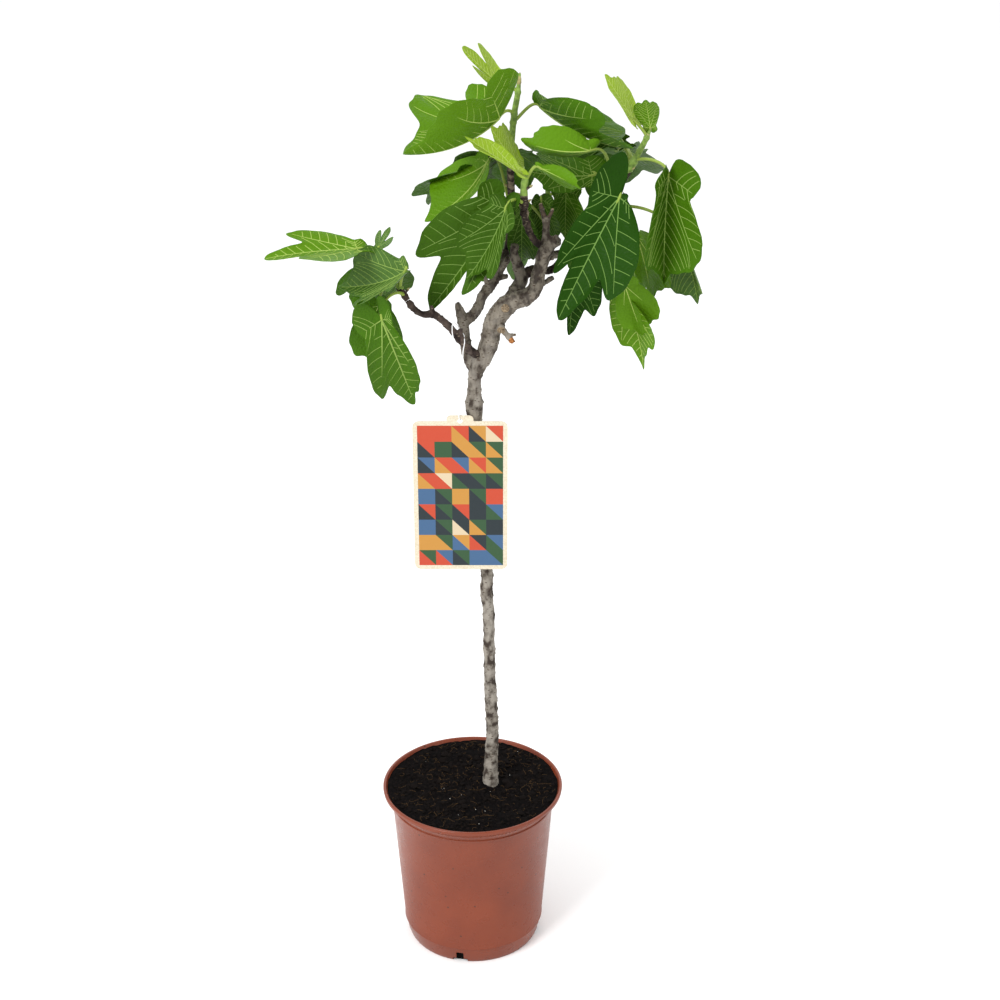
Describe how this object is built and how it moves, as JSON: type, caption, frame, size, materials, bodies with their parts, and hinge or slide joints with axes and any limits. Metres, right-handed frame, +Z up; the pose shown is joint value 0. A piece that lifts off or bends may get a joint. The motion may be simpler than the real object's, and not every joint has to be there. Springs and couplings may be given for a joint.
{
  "type": "potted fig tree",
  "caption": "Young fig tree with a slim bare trunk, a forked leafy top and a hang label, growing in a round terracotta-coloured nursery pot filled with soil.",
  "frame": {"origin": "middle of the flat underside of the pot, where it stands on the floor", "axes": "+Z up the trunk, -Y towards the front that the picture shows, +X to the viewer's right"},
  "size_m": [0.4103, 0.25, 0.9538],
  "materials": {
    "pot_plastic": "moulded terracotta-coloured plastic with a soft sheen",
    "potting_soil": "moist dark potting soil with fibres",
    "grey_bark": "pale grey bark with rings and small corky spots",
    "brown_bark": "dark brown bark with pale leaf scars",
    "fig_leaf": "green leaf, soft sheen above and paler veins below",
    "printed_card": null,
    "label_elastic": "thin white elastic thread"
  },
  "bodies": {
    "root": {"pot": "pot_plastic", "soil": "potting_soil", "trunk": "grey_bark", "main_bough": "grey_bark", "rear_bough": "grey_bark", "tall_bough": "grey_bark", "centre_bough": "grey_bark", "left_bough": "brown_bark", "right_bough": "brown_bark", "back_bough": "brown_bark", "low_bough": "brown_bark", "front_twig": "brown_bark", "left_leaves": "fig_leaf", "top_leaves": "fig_leaf", "centre_leaves": "fig_leaf", "right_leaves": "fig_leaf", "low_right_leaves": "fig_leaf", "back_leaves": "fig_leaf", "label": "printed_card", "label_loop": "label_elastic"}
  },
  "joints": []
}
